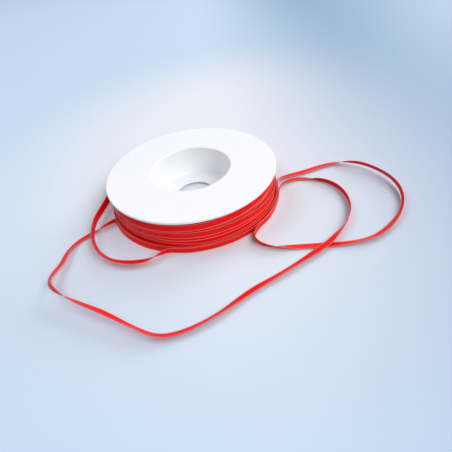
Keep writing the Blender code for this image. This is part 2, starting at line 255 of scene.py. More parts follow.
DOWN_BEHIND = [
    polar(EXIT_AZIMUTH, WINDING_RADIUS, HIGHEST_TURN, WINDING_LEAN),
    polar(48, WINDING_RADIUS + 0.3, HIGHEST_TURN, 18),
    polar(60, WINDING_RADIUS + 1.6, HIGHEST_TURN - 0.4, 12),
    polar(75, WINDING_RADIUS + 2.8, HIGHEST_TURN - 1.7, 6),
    polar(95, WINDING_RADIUS + 3.3, 8.4, 2),
    polar(115, WINDING_RADIUS + 3.0, 5.4),
    polar(135, WINDING_RADIUS + 2.3, 2.9),
    polar(150, 40.4, STANDING + 0.3),
]
OFF_THE_BACK = [
    polar(350, 40.1, 2.2), polar(0, 40.1, 3.1), polar(12, 40.3, 3.5), polar(26, 41.5, 2.6),
    polar(42, 43.5, STANDING), polar(58, 45.1, STANDING),
]
LEFT_LOOP = [
    (9.0, 46.0, 1.6, 0), (-6.0, 46.6, 1.8, 3), (-20.5, 43.5, 2.1, 0), (-32.0, 35.3, 2.5, -14),
    (-39.8, 23.2, 2.8, -26), (-42.9, 11.0, 3.0, -32), (-43.9, 0.9, 3.0, -30),
    (-45.6, -6.5, 3.0, -24), (-47.1, -14.0, 3.0, -12), (-47.0, -21.0, 3.0, -8),
    (-44.9, -29.6, 3.1, -22), (-41.0, -36.6, 3.1, -40), (-35.3, -41.6, 2.8, -56),
    (-30.2, -43.5, 2.5, -72), (-25.0, -44.2, 2.3, -78), (-20.8, -43.6, 2.0, -70),
    (-17.6, -41.8, 1.8, -40), (-15.2, -40.2, 1.6, -14), (-12.1, -39.35, 1.55, -6),
]
RIGHT_LOOP = [
    (38.24, -13.93, 1.52, 0), (39.73, -8.9, 1.55, 0), (40.56, -4.0, 1.55, -2), (41.0, -1.0, 1.6, -14),
    (42.0, 0.9, 1.5, -44), (43.9, 2.0, 1.3, -68), (46.6, 2.8, 1.1, -80), (56.6, 5.0, 1.0, -85),
    (65.9, 7.9, 0.9, -84), (73.3, 8.7, 1.2, -72), (79.1, 6.3, 2.3, -42), (83.5, 3.1, 2.9, -30),
    (87.3, -0.9, 2.9, -28), (90.7, -6.3, 2.8, -25), (93.0, -12.7, 2.6, -18), (93.6, -19.3, 2.1, -6),
    (91.9, -26.5, 1.75, 8), (88.1, -33.4, 1.5, 26), (83.2, -39.0, 1.3, 45), (77.8, -43.3, 1.0, 58),
    (72.4, -46.4, 0.9, 60), (66.4, -48.0, 0.9, 58), (59.9, -48.3, 0.7, 68), (53.6, -47.9, 0.45, 80),
    (47.2, -47.2, 0.3, 88), (40.8, -46.5, 0.4, 82), (34.6, -45.8, 0.8, 62), (29.4, -45.0, 1.4, 30),
    (25.4, -42.6, 1.55, 12), (23.9, -38.9, 1.55, 8), (24.9, -34.9, 1.55, 2),
]
FRONT_STRAND = [
    (40.6, -8.6, 1.53, -8), (42.4, -4.6, 1.2, -42), (45.3, -1.4, 0.75, -66),
    (49.9, 0.1, 0.45, -80), (55.2, -0.6, 0.45, -80), (60.9, -3.7, 1.3, -34),
    (66.0, -8.9, 1.55, -14), (68.8, -15.8, 1.55, -8), (69.0, -23.8, 1.55, -4),
    (67.1, -30.8, 1.55, 2), (63.0, -37.3, 1.6, 20), (57.6, -42.8, 1.7, 52),
    (52.3, -47.4, 1.5, 74), (46.2, -51.0, 1.2, 72), (39.6, -54.5, 0.9, 60),
    (32.4, -58.4, 0.95, 55), (19.1, -65.0, 0.75, 70), (4.6, -73.9, 1.1, 50),
    (-2.0, -76.8, 1.0, 54), (-7.5, -78.4, 1.0, 58), (-12.6, -79.0, 1.25, 56),
    (-17.0, -78.2, 1.9, 48), (-21.3, -76.0, 2.6, 42), (-35.3, -67.4, 4.0, 54),
    (-46.4, -60.9, 4.2, 38), (-50.2, -58.3, 4.4, 20), (-53.5, -56.0, 4.8, -8),
    (-56.2, -53.3, 4.9, -28), (-57.8, -50.2, 4.5, -50), (-58.3, -46.0, 3.4, -70),
    (-56.9, -38.3, 2.0, -72), (-56.6, -32.9, 1.6, -68), (-55.6, -28.5, 1.0, -74),
    (-53.6, -24.8, 0.5, -82), (-50.5, -21.7, 0.4, -84), (-47.2, -19.7, 0.56, -76),
    (-43.4, -17.3, 1.45, -34), (-38.2, -14.1, 1.53, -14),
]
ROUTE = np.array(DOWN_BEHIND + hugging(0, 160, 340) + OFF_THE_BACK + LEFT_LOOP
                 + hugging(1, 260, 330) + RIGHT_LOOP + hugging(2, 310, 340) + FRONT_STRAND)
print("route:", len(ROUTE), "points")

# %% [markdown]
# A curve object could carry the section along this route, but it would not let the cloth's
# hollow change on the way. So we fill the route in ourselves: a cubic between each two points,
# then a light running average that evens out the bends, as the cloth's own stiffness does.

# %% Fill in the route and sweep the ribbon along it
RIBBON_STEP = 0.5             # millimetres between sections
EVEN_OUT = 1.3                # millimetres, spread of the running average


def filled(route, step):
    """Points on cubics through the route's points, evenly close together.

    The slope at a route point is the chord slopes on both sides, the nearer weighing more.
    """
    chord = np.linalg.norm(np.diff(route[:, :3], axis=0), axis=1)
    rise = np.diff(route, axis=0) / chord[:, None]
    weight = (chord[:-1] / (chord[:-1] + chord[1:]))[:, None]
    slope = np.concatenate([rise[:1], rise[:-1] * (1 - weight) + rise[1:] * weight, rise[-1:]])
    place = np.concatenate([[0.0], np.cumsum(chord)])
    wanted = np.linspace(0.0, place[-1], int(place[-1] / step) + 1)
    i = np.clip(np.searchsorted(place, wanted, side="right") - 1, 0, len(chord) - 1)
    s = ((wanted - place[i]) / chord[i])[:, None]
    span = chord[i][:, None]
    return ((1 + 2 * s) * (1 - s) ** 2 * route[i] + s * (1 - s) ** 2 * span * slope[i]
            + s * s * (3 - 2 * s) * route[i + 1] + s * s * (s - 1) * span * slope[i + 1])


def evened(values, spread):
    """A running average with bell-shaped weights; the ends stay where they are."""
    reach = int(4 * spread)
    bell = np.exp(-0.5 * (np.arange(-reach, reach + 1) / spread) ** 2)
    bell /= bell.sum()
    before = 2 * values[:1] - values[reach:0:-1]
    after = 2 * values[-1:] - values[-2:-reach - 2:-1]
    padded = np.concatenate([before, values, after])
    return np.stack([np.convolve(column, bell, "valid") for column in padded.T], axis=-1)


loose_path = evened(filled(ROUTE, RIBBON_STEP), EVEN_OUT / RIBBON_STEP)
loose_middle = loose_path[:, :3] * MM
travelled = length_along(loose_middle) / MM
LOOSE_HOLLOW = 0.11 * MM      # it comes and goes along the ribbon in two unlike waves
loose_hollow = LOOSE_HOLLOW * (0.85 + 0.3 * np.sin(travelled / 17)
                               + 0.15 * np.sin(travelled / 5.3))
loose_ribbon = swept_ribbon("loose_ribbon", loose_middle, np.radians(loose_path[:, 3]),
                            loose_hollow)

# %% [markdown]
# ## The winding
#
# The band wound on the reel is one length too. Its inner layer goes down flat against the
# ribbon under it, turns back at the bottom, and its outer layer climbs again; each turn of
# the outer layer laps over the one below like a tile, which leaves a bright lower edge, made
# brighter by the painted highlight on its selvedge, and the dark line of its shadow. Separate
# rings would look the same from the front and wrong from the back, where the turns step up,
# so the whole winding is one helix. Slow waves, different on each turn, keep its edges from
# lining up, as they never do on a real reel.

# %% Path of the wound band
LOWEST_TURN = 2.961           # millimetres, degrees and turns in this cell
TURNS = 6
STEP_FROM, STEP_TO = 60.0, 120.0
WINDING_START = 130.0
INNER_TURNS = 3
INNER_PITCH = 3.1
INNER_RADIUS = 37.76
INNER_LEAN = 1.0
WINDING_STEP = 1.0            # degrees between sections
FADE_OUT = 30.0               # the play dies away before the ribbon leaves the winding
LEVELLED = 9                  # sections over which the heights below are evened
EXIT_GAP = 0.03               # degrees short of where the loose ribbon starts
TURN_AZIMUTHS = (120, 215, 235, 255, 275, 295, 305, 315, 325, 335, 350, 380, 420)
TURN_HEIGHTS = (              # middle of each turn at those azimuths, lowest turn first
    (2.81, 2.81, 2.81, 2.81, 2.81, 2.81, 2.81, 2.81, 2.81, 2.81, 2.81, 2.81, 2.96),
    (5.20, 5.75, 5.65, 5.05, 3.85, 3.9, 3.95, 3.95, 3.95, 4.0, 4.0, 4.2, 4.6),
    (7.10, 7.25, 7.05, 6.35, 5.95, 5.9, 5.8, 5.75, 5.7, 5.7, 5.7, 5.9, 6.4),
    (8.95, 8.5, 8.4, 8.45, 7.95, 7.8, 7.35, 6.75, 5.9, 5.2, 5.0, 6.4, 8.1),
    (10.85, 9.8, 9.9, 9.95, 10.1, 10.5, 10.65, 10.7, 10.55, 10.5, 10.4, 10.4, 10.5),
    (12.74, 12.8, 11.7, 11.6, 11.5, 11.9, 12.2, 12.55, 12.7, 12.74, 12.74, 12.74, 12.74),
)
TURN_RADII = (38.95, 38.75, 38.75, 39.3, 38.3, 38.9)
TURN_LEANS = (20.0, 14.0, 16.0, 2.0, 4.0, 20.0)
WAVE_RATES = np.array([0.61, 1.27, 2.13, 3.41])   # waves per turn
WAVE_SIZES = np.array([0.50, 0.32, 0.22, 0.12])
PLAY_UP, PLAY_OUT, PLAY_LEAN = 0.14, 0.03, 2.0    # how far the waves move and tip the band
WOUND_HOLLOW = 0.12 * MM
rng = np.random.default_rng(7)


def smooth_step(share):
    """0 to 1 over the share's 0 to 1, level at both ends: 3s^2 - 2s^3."""
    share = np.clip(share, 0.0, 1.0)
    return share * share * (3 - 2 * share)


def slow_waves(turns):
    """A sum of four sine waves of unrelated lengths, between about -1 and 1."""
    phases = rng.uniform(0, 2 * np.pi, len(WAVE_RATES))
    return np.sin(2 * np.pi * WAVE_RATES * turns[:, None] + phases) @ WAVE_SIZES


def winding_path():
    """Middle and lean of the band, from the top of the inner layer to the exit.

    Laps are counted from where the band steps to the next level, at the back. The inner layer
    goes down by one even pitch a lap. On lap 0 the band moves out to the lowest outer turn,
    and each lap after it blends into the row of the tables that stands for the next turn.
    """
    first = WINDING_START - 360.0 * INNER_TURNS
    last = EXIT_AZIMUTH - EXIT_GAP + 360.0 * TURNS
    azimuth = np.linspace(first, last, int((last - first) / WINDING_STEP) + 1)
    lap = np.floor((azimuth - STEP_FROM) / 360.0)
    local = azimuth - 360.0 * lap
    step = smooth_step((local - STEP_FROM) / (STEP_TO - STEP_FROM))
    height = LOWEST_TURN + INNER_PITCH * np.maximum(-lap - step, 0.0)
    radius = np.full(len(azimuth), INNER_RADIUS)
    lean = np.full(len(azimuth), INNER_LEAN)
    before = (INNER_RADIUS, LOWEST_TURN, INNER_LEAN)
    for turn, heights in enumerate(TURN_HEIGHTS):
        here = lap == turn
        share = step[here]
        after = np.interp(local[here], TURN_AZIMUTHS, heights)
        height[here] = before[1] + (after - before[1]) * share
        radius[here] = before[0] + (TURN_RADII[turn] - before[0]) * share
        lean[here] = before[2] + (TURN_LEANS[turn] - before[2]) * share
        before = (TURN_RADII[turn], heights[-1], TURN_LEANS[turn])
    window = np.ones(LEVELLED) / LEVELLED
    height = np.convolve(np.pad(height, LEVELLED // 2, mode="edge"), window, mode="valid")
    leaving = smooth_step((azimuth - last) / FADE_OUT + 1)
    radius += (WINDING_RADIUS - radius) * leaving
    lean += (WINDING_LEAN - lean) * leaving
    turns = azimuth / 360.0
    height += PLAY_UP * (1 - leaving) * slow_waves(turns)
    radius += PLAY_OUT * (1 - leaving) * slow_waves(turns)
    lean += PLAY_LEAN * (lap >= 0) * step * (1 - leaving) * slow_waves(turns)
    angle = np.radians(azimuth)
    middle = np.stack([radius * np.cos(angle), radius * np.sin(angle), height], axis=-1)
    return middle * MM, np.radians(lean)


wound_middle, wound_lean = winding_path()
wound_ribbon = swept_ribbon("wound_ribbon", wound_middle, wound_lean,
                            np.full(len(wound_lean), WOUND_HOLLOW))
wound_turns = TURNS + INNER_TURNS - (WINDING_START - EXIT_AZIMUTH) / 360
print(f"wound ribbon: {length_along(wound_middle)[-1]:.2f} m in {wound_turns:.2f} turns")

# %% [markdown]
# ## The layers underneath
#
# Below those two layers the reel is full of ribbon that only shows as a dark red glimpse
# between the turns, and at the top and bottom where the layers' edges lie against the
# flanges. A turned ring that fits round the hub and over the collar stands for all of it.

# %% Turned pieces
ROUND_STEPS = 256
ARC_STEP = 0.05 * MM
STRAIGHT_STEP = 1.6 * MM
SUPPORT = 0.07 * MM           # a ring this close to each corner keeps the flats flat


def unit(vector):
    return vector / np.linalg.norm(vector)


def rounded_outline(corners):
    """Closed outline from (radius, height, round) corners: an arc at each, then the straights.

    An arc starts round / tan(half the corner's angle) back from the corner.
    """
    count = len(corners)
    arcs = []
    for i, (r, z, fillet) in enumerate(corners):
        here = np.array([r, z])
        before = unit(np.array(corners[i - 1][:2]) - here)
        after = unit(np.array(corners[(i + 1) % count][:2]) - here)
        half = np.arccos(np.clip(before @ after, -1, 1)) / 2
        start, end = here + before * fillet / np.tan(half), here + after * fillet / np.tan(half)
        centre = here + unit(before + after) * fillet / np.sin(half)
        swept = np.pi - 2 * half
        share = np.linspace(0, 1, max(4, int(fillet * swept / ARC_STEP)) + 1)[:, None]
        arcs.append(centre + (np.sin((1 - share) * swept) * (start - centre)
                              + np.sin(share * swept) * (end - centre)) / np.sin(swept))
    outline = []
    for i, arc in enumerate(arcs):
        outline.append(arc)
        start, end = arc[-1], arcs[(i + 1) % count][0]
        gap = np.linalg.norm(end - start)
        if gap > 4 * SUPPORT:
            inner = np.linspace(SUPPORT, gap - SUPPORT, int(gap / STRAIGHT_STEP) + 2)
            outline.append(start + (end - start) * (inner / gap)[:, None])
    return np.concatenate(outline)


def turned(name, outline, warp=None):
    """The outline carried once round the axis; warp adds a height at each radius and azimuth."""
    turn = np.arange(ROUND_STEPS) * 2 * np.pi / ROUND_STEPS
    radius, height = outline[None, :, 0], outline[None, :, 1]
    points = np.stack([radius * np.cos(turn)[:, None], radius * np.sin(turn)[:, None],
                       np.broadcast_to(height, (ROUND_STEPS, len(outline)))], axis=-1)
    if warp is not None:
        points[..., 2] += warp(radius, turn[:, None])
    return piece(name, points, ring_faces(ROUND_STEPS, len(outline), True))


HUB_OUTER_RADIUS = 19.7 * MM
COLLAR_OUTER = 21.0 * MM
LAYERS_RADIUS = 37.45 * MM
LAYERS_BOTTOM, LAYERS_TOP = 1.45 * MM, 14.25 * MM
FINE = 0.05 * MM              # round of a corner that hardly shows
LAYERS_FOOT = 4.8 * MM        # underside of the layers that lie over the collar
SEAT_GAP = 0.3 * MM
layers_outline = rounded_outline([
    (HUB_OUTER_RADIUS + SEAT_GAP, LAYERS_FOOT, FINE), (HUB_OUTER_RADIUS + SEAT_GAP, LAYERS_TOP, FINE),
    (LAYERS_RADIUS, LAYERS_TOP, FINE), (LAYERS_RADIUS, LAYERS_BOTTOM, FINE),
    (COLLAR_OUTER + SEAT_GAP, LAYERS_BOTTOM, FINE), (COLLAR_OUTER + SEAT_GAP, LAYERS_FOOT, FINE),
])
inner_layers = turned("inner_layers", layers_outline)

# %% [markdown]
# ## The two mouldings
#
# Upper flange, hub wall and hub floor are one moulding; the lower flange carries a collar
# that snaps round it. Each is a turned profile with every edge rounded, since moulded
# plastic has no sharp edge. A real flange this thin is never quite flat, so the upper one is
# given a lazy warp of a few hundredths of a millimetre, which the light on it shows.

# %% Upper and lower moulding
FLANGE_RADIUS, FLANGE_TOP, FLANGE_UNDER = 40.0 * MM, 15.7 * MM, 14.5 * MM
LOWER_RADIUS, LOWER_TOP = 39.5 * MM, 1.2 * MM
EDGE = 0.45 * MM
HUB_MOUTH, HUB_FOOT = 18.5 * MM, 18.2 * MM
FLOOR_TOP, FLOOR_UNDER = 1.9 * MM, 0.8 * MM
HOLE = 8.8 * MM
SNAP, SNAP_BEAD, SNAP_HALF = 3.0 * MM, 0.45 * MM, 0.6 * MM
COLLAR_BORE, COLLAR_TOP = 20.0 * MM, 4.5 * MM
LIP_WIDTH, LIP_TOP = 2.5 * MM, 0.5 * MM
SMALL_ROUND, ROOT_ROUND = 0.25 * MM, 0.6 * MM
WARP = 0.05 * MM

upper_outline = rounded_outline([
    (HOLE, FLOOR_TOP, SMALL_ROUND), (HUB_FOOT, FLOOR_TOP, 1.0 * MM),
    (HUB_MOUTH, FLANGE_TOP, 0.8 * MM), (FLANGE_RADIUS, FLANGE_TOP, EDGE),
    (FLANGE_RADIUS, FLANGE_UNDER, EDGE), (HUB_OUTER_RADIUS, FLANGE_UNDER, ROOT_ROUND),
    (HUB_OUTER_RADIUS, SNAP + SNAP_HALF, FINE), (HUB_OUTER_RADIUS + SNAP_BEAD, SNAP, FINE),
    (HUB_OUTER_RADIUS, SNAP - SNAP_HALF, FINE), (HUB_OUTER_RADIUS, FLOOR_UNDER, SMALL_ROUND),
    (HOLE, FLOOR_UNDER, SMALL_ROUND),
])
lower_outline = rounded_outline([
    (COLLAR_BORE, LIP_TOP, FINE), (COLLAR_BORE, SNAP - SNAP_HALF, FINE),
    (COLLAR_BORE + SNAP_BEAD, SNAP, FINE), (COLLAR_BORE, SNAP + SNAP_HALF, FINE),
    (COLLAR_BORE, COLLAR_TOP, SMALL_ROUND), (COLLAR_OUTER, COLLAR_TOP, SMALL_ROUND),
    (COLLAR_OUTER, LOWER_TOP, ROOT_ROUND), (LOWER_RADIUS, LOWER_TOP, EDGE),
    (LOWER_RADIUS, 0.0, EDGE), (COLLAR_BORE - LIP_WIDTH, 0.0, FINE),
    (COLLAR_BORE - LIP_WIDTH, LIP_TOP, FINE),
])


def lazy_warp(radius, turn):
    """Nothing inside the hub; outside it, two waves round the flange, growing to the rim."""
    reach = np.clip((radius - HUB_OUTER_RADIUS) / (FLANGE_RADIUS - HUB_OUTER_RADIUS), 0, 1)
    return WARP * reach ** 2 * (np.cos(2 * turn + 0.6) + 0.4 * np.cos(3 * turn + 2.0))


upper_moulding = turned("upper_moulding", upper_outline, lazy_warp)
lower_moulding = turned("lower_moulding", lower_outline)

# %% [markdown]
# ## Shader helpers
#
# Materials here are node trees built by two small functions: one adds a node and fills its
# sockets, the other makes a group with named inputs and outputs. Effects that both finishes
# use, such as lint and handling marks, are groups; the Principled shader stays in each
# material, with its constant values set on its own sockets.

# %% Node helpers
def add(tree, kind, *inputs, **settings):
    """Adds a node; each input is a socket to link, a value to set, or None to leave."""
    node = tree.nodes.new("ShaderNode" + kind)
    for setting, value in settings.items():
        setattr(node, setting, value)
    for socket, value in zip(node.inputs, inputs):
        if isinstance(value, bpy.types.NodeSocket):
            tree.links.new(value, socket)
        elif value is not None:
            socket.default_value = value
    return node


def sums(tree, operation, *inputs):
    """The result of one Math node."""
    return add(tree, "Math", *inputs, operation=operation).outputs[0]


def band(tree, value, low, high):
    """0 below low and 1 above high, smooth between; high below low turns it round."""
    node = add(tree, "MapRange", value, low, high, 0.0, 1.0, interpolation_type="SMOOTHSTEP")
    return node.outputs[0]


def noise(tree, vector, scale, detail=2.0):
    """The Noise texture's value at a vector; the scale may be a socket."""
    return add(tree, "TexNoise", vector, None, scale, detail).outputs["Fac"]


def group(name, inputs, outputs):
    """A node group with its own sockets; returns the tree and its input and output nodes."""
    tree = bpy.data.node_groups.new(name, "ShaderNodeTree")
    for direction, sockets in (("INPUT", inputs), ("OUTPUT", outputs)):
        for label, kind, value in sockets:
            socket = tree.interface.new_socket(label, in_out=direction,
                                               socket_type="NodeSocket" + kind)
            if value is not None:
                socket.default_value = value
    return tree, tree.nodes.new("NodeGroupInput"), tree.nodes.new("NodeGroupOutput")


def placed(tree, shared, **inputs):
    """A group placed in a tree, with its named inputs linked or set."""
    node = tree.nodes.new("ShaderNodeGroup")
    node.node_tree = shared
    for label, value in inputs.items():
        socket = node.inputs[label.replace("_", " ")]
        if isinstance(value, bpy.types.NodeSocket):
            tree.links.new(value, socket)
        else:
            socket.default_value = value
    return node


def new_material(name, colour, roughness):
    """A material with its tree and Principled shader; the plain colour is for the viewport."""
    material = bpy.data.materials.new(name)
    material.use_nodes = True
    material.diffuse_color = (*colour, 1.0)
    shader = material.node_tree.nodes["Principled BSDF"]
    shader.inputs["Roughness"].default_value = roughness
    shader.inputs["Metallic"].default_value = 0.0
    return material, material.node_tree, shader


def blend_colours(tree, share, first, second):
    """One colour where share is 0, the other where it is 1.

    Sockets 0, 6 and 7 are the node's factor and its two colours, and output 2 is its colour.
    """
    node = tree.nodes.new("ShaderNodeMix")
    node.data_type = "RGBA"
    for socket, value in ((node.inputs[0], share), (node.inputs[6], first),
                          (node.inputs[7], second)):
        if isinstance(value, bpy.types.NodeSocket):
            tree.links.new(value, socket)
        else:
            socket.default_value = value
    return node.outputs[2]


def bumped(tree, shader, height, strength, distance):
    """Tips the shader's normal by a height; distance is how far a height of 1 stands out."""
    bump = tree.nodes.new("ShaderNodeBump")
    bump.inputs["Strength"].default_value = strength
    bump.inputs["Distance"].default_value = distance
    tree.links.new(height, bump.inputs["Height"])
    tree.links.new(bump.outputs["Normal"], shader.inputs["Normal"])


# %% [markdown]
# ## Shared effects: handling marks and lint
#
# Anything that has been held carries broad, faint patches where the gloss changes, and a few
# specks of lint. The patches are slow noise. Each speck is a cell of a Voronoi pattern that
# keeps only its middle, and only where the cell's own random number is below the share.

# %% Shared effects
handling, into, out = group(
    "handling_marks", [("Vector", "Vector", None), ("Size", "Float", 60.0)],
    [("Patches", "Float", None)])
patches = noise(handling, into.outputs["Vector"], into.outputs["Size"], 3.0)
handling.links.new(band(handling, patches, 0.35, 0.7), out.inputs["Patches"])

lint, into, out = group(
    "lint_specks", [("Vector", "Vector", None), ("Cells", "Float", 500.0),
                    ("Share", "Float", 0.04)], [("Specks", "Float", None)])
cells = lint.nodes.new("ShaderNodeTexVoronoi")
lint.links.new(into.outputs["Vector"], cells.inputs["Vector"])
lint.links.new(into.outputs["Cells"], cells.inputs["Scale"])
middle = band(lint, cells.outputs["Distance"], 0.22, 0.10)
random_value = add(lint, "SeparateColor", cells.outputs["Color"]).outputs[0]
kept = sums(lint, "LESS_THAN", random_value, into.outputs["Share"])
lint.links.new(sums(lint, "MULTIPLY", middle, kept), out.inputs["Specks"])
LINT_CELLS = 1500.0           # per metre

# %% [markdown]
# ## White moulded plastic
#
# The mouldings are glossy white polystyrene. Close up, such a part shows three things: faint
# streaks that run outwards from the hub, where the melt flowed; fine rings left by turning
# the mould; and an edge rubbed a little duller than the face. All three depend on the
# distance from the axis and the angle round it, so both are worked out from Object
# coordinates rather than painted on a flat map, which would need a seam.

# %% White plastic
moulded, into, out = group(
    "moulded_face", [("Vector", "Vector", None), ("Rim Radius", "Float", 0.04)],
    [("Flow", "Float", None), ("Height", "Float", None), ("Rubbed Edge", "Float", None)])
xyz = add(moulded, "SeparateXYZ", into.outputs["Vector"]).outputs
flat = add(moulded, "CombineXYZ", xyz[0], xyz[1], 0.0).outputs[0]
radius = add(moulded, "VectorMath", flat, operation="LENGTH").outputs["Value"]
spoke = add(moulded, "VectorMath", flat, operation="NORMALIZE").outputs[0]
along_spoke = add(moulded, "CombineXYZ", add(moulded, "SeparateXYZ", spoke).outputs[0],
                  add(moulded, "SeparateXYZ", spoke).outputs[1],
                  sums(moulded, "MULTIPLY", radius, 14.0)).outputs[0]
flow = noise(moulded, along_spoke, 5.0, 4.0)
moulded.links.new(flow, out.inputs["Flow"])
rings = sums(moulded, "SINE", sums(moulded, "MULTIPLY", radius, 2 * np.pi / (0.9 * MM)))
fine_grain = noise(moulded, into.outputs["Vector"], 420.0, 1.0)
height = sums(moulded, "ADD", sums(moulded, "MULTIPLY", rings, 0.15), fine_grain)
moulded.links.new(height, out.inputs["Height"])
rim_start = sums(moulded, "SUBTRACT", into.outputs["Rim Radius"], 0.5 * MM)
rim = add(moulded, "MapRange", radius, rim_start, into.outputs["Rim Radius"], 0.0, 1.0)
worn = sums(moulded, "MULTIPLY", rim.outputs[0],
            band(moulded, noise(moulded, into.outputs["Vector"], 260.0, 3.0), 0.42, 0.62))
moulded.links.new(worn, out.inputs["Rubbed Edge"])

WHITE = (0.885, 0.895, 0.920)
FLOW_DARK, FLOW_LIGHT = (0.870, 0.882, 0.912, 1), (0.900, 0.907, 0.926, 1)
RUBBED, PALE_LINT = (0.84, 0.84, 0.85, 1), (0.62, 0.60, 0.60, 1)


def white_plastic(name, rim_radius):
    """Glossy white with flow streaks, mould rings, handling marks, lint and a rubbed rim."""
    material, tree, shader = new_material(name, WHITE, 0.30)
    vector = tree.nodes.new("ShaderNodeTexCoord").outputs["Object"]
    face = placed(tree, moulded, Vector=vector, Rim_Radius=rim_radius)
    marks = placed(tree, handling, Vector=vector, Size=70.0).outputs["Patches"]
    specks = placed(tree, lint, Vector=vector, Cells=LINT_CELLS, Share=0.004).outputs["Specks"]
    colour = blend_colours(tree, face.outputs["Flow"], FLOW_DARK, FLOW_LIGHT)
    colour = blend_colours(tree, sums(tree, "MULTIPLY", face.outputs["Rubbed Edge"], 0.25),
                           colour, RUBBED)
    colour = blend_colours(tree, sums(tree, "MULTIPLY", specks, 0.10), colour, PALE_LINT)
    tree.links.new(colour, shader.inputs["Base Color"])
    roughness = sums(tree, "ADD", sums(tree, "MULTIPLY", marks, 0.07), 0.27)
    roughness = sums(tree, "ADD", roughness,
                     sums(tree, "MULTIPLY", face.outputs["Rubbed Edge"], 0.15))
    tree.links.new(roughness, shader.inputs["Roughness"])
    bumped(tree, shader, face.outputs["Height"], 0.25, 0.008 * MM)
    shader.inputs["IOR"].default_value = 1.53
    return material


upper_moulding.data.materials.append(white_plastic("upper_white_plastic", FLANGE_RADIUS))
lower_moulding.data.materials.append(white_plastic("lower_white_plastic", LOWER_RADIUS))
print("white plastic:", len(upper_moulding.data.materials[0].node_tree.nodes), "nodes")

# %% [markdown]
# ## Red satin
#
# Satin is a weave whose long warp threads lie on top, so it looks smooth along the ribbon
# and streaked across it, and each selvedge is a tight cord with short ticks of weft. The
# pattern has to follow the ribbon through every twist, so it reads where a point lies in
# the cloth, from the attribute that the sweep stored, and not where it is in space.

# %% Red satin
WEFT_TICK = 0.26              # millimetres between ticks of weft along a selvedge
RIB = 0.52                    # millimetres between the slanted ribs
PINK_LINT = (0.75, 0.35, 0.33, 1)

satin, into, out = group(
    "satin_weave", [("Lay", "Vector", None), ("Half Width", "Float", 1.5),
                    ("Thread", "Float", 0.085)],
    [("Height", "Float", None), ("Streaks", "Float", None), ("Selvedge", "Float", None),
     ("Ribs", "Float", None)])
lay = add(satin, "SeparateXYZ", into.outputs["Lay"]).outputs
stretched = add(satin, "CombineXYZ", sums(satin, "MULTIPLY", lay[0], 0.045),
                sums(satin, "MULTIPLY", lay[1], 2.6), lay[2]).outputs[0]
streaks = noise(satin, stretched, 1.0, 4.0)
satin.links.new(band(satin, streaks, 0.25, 0.75), out.inputs["Streaks"])
edge_distance = sums(satin, "SUBTRACT", into.outputs["Half Width"],
                     sums(satin, "ABSOLUTE", lay[1]))
selvedge = band(satin, edge_distance, 0.36, 0.28)
satin.links.new(selvedge, out.inputs["Selvedge"])
wander = sums(satin, "MULTIPLY", noise(satin, stretched, 2.5), 3.0)
thread_phase = sums(satin, "MULTIPLY", sums(satin, "DIVIDE", lay[1], into.outputs["Thread"]),
                    2 * np.pi)
threads = sums(satin, "SINE", sums(satin, "ADD", thread_phase, wander))
ticks = sums(satin, "SINE", sums(satin, "MULTIPLY", lay[0], 2 * np.pi / WEFT_TICK))
slanted = sums(satin, "ADD", lay[0], sums(satin, "MULTIPLY", lay[1], 0.55))
ribs = sums(satin, "SINE", sums(satin, "MULTIPLY", slanted, 2 * np.pi / RIB))
height = sums(satin, "ADD", sums(satin, "MULTIPLY", threads, 0.5),
              sums(satin, "MULTIPLY", sums(satin, "MULTIPLY", ticks, selvedge), 0.8))
satin.links.new(sums(satin, "ADD", height, sums(satin, "MULTIPLY", ribs, 0.35)),
                out.inputs["Height"])
satin.links.new(sums(satin, "ADD", sums(satin, "MULTIPLY", ribs, 0.5), 0.5), out.inputs["Ribs"])


def red_satin(name, shade, light, selvedge_highlight_colour):
    """Satin between a shade and a light red, streaked lengthwise, with a painted highlight on its
    selvedges.
    """
    material, tree, shader = new_material(name, light[:3], 0.36)
    where = tree.nodes.new("ShaderNodeAttribute")
    where.attribute_name = "lay"
    vector = tree.nodes.new("ShaderNodeTexCoord").outputs["Object"]
    weave = placed(tree, satin, Lay=where.outputs["Vector"])
    marks = placed(tree, handling, Vector=vector, Size=110.0).outputs["Patches"]
    specks = placed(tree, lint, Vector=vector, Cells=LINT_CELLS, Share=0.02).outputs["Specks"]
    woven = sums(tree, "ADD", sums(tree, "MULTIPLY", weave.outputs["Streaks"], 0.7),
                 sums(tree, "MULTIPLY", weave.outputs["Ribs"], 0.3))
    colour = blend_colours(tree, woven, shade, light)
    # painted highlight: the selvedges are painted a lighter, pinker red, for the edge cord catching
    # the light
    colour = blend_colours(tree, sums(tree, "MULTIPLY", weave.outputs["Selvedge"], 0.9),
                           colour, selvedge_highlight_colour)
    colour = blend_colours(tree, sums(tree, "MULTIPLY", specks, 0.3), colour, PINK_LINT)
    tree.links.new(colour, shader.inputs["Base Color"])
    roughness = sums(tree, "ADD", sums(tree, "MULTIPLY", marks, 0.08), 0.32)
    roughness = sums(tree, "ADD", roughness,
                     sums(tree, "MULTIPLY", weave.outputs["Selvedge"], 0.08))
    tree.links.new(roughness, shader.inputs["Roughness"])
    bumped(tree, shader, weave.outputs["Height"], 0.35, 0.02 * MM)
    shader.inputs["Specular IOR Level"].default_value = 0.14
    return material


# each satin's third colour is the painted highlight on its selvedges
loose_ribbon.data.materials.append(
    red_satin("loose_red_satin", (0.66, 0.004, 0.006, 1), (0.93, 0.010, 0.012, 1),
              (0.98, 0.150, 0.120, 1)))
wound_ribbon.data.materials.append(
    red_satin("wound_red_satin", (0.70, 0.003, 0.005, 1), (0.93, 0.009, 0.011, 1),
              (0.98, 0.160, 0.125, 1)))

# %% [markdown]
# The layers underneath have no cloth of their own to read, so their red is banded by height,
# one band for each turn's width, with Object coordinates. Both reds are painted darker than the
# ribbon outside, and part of each band darker still: painted shade for ribbon deep between turns.

# %% Red of the layers underneath
BAND_HEIGHT = 2.45 * MM

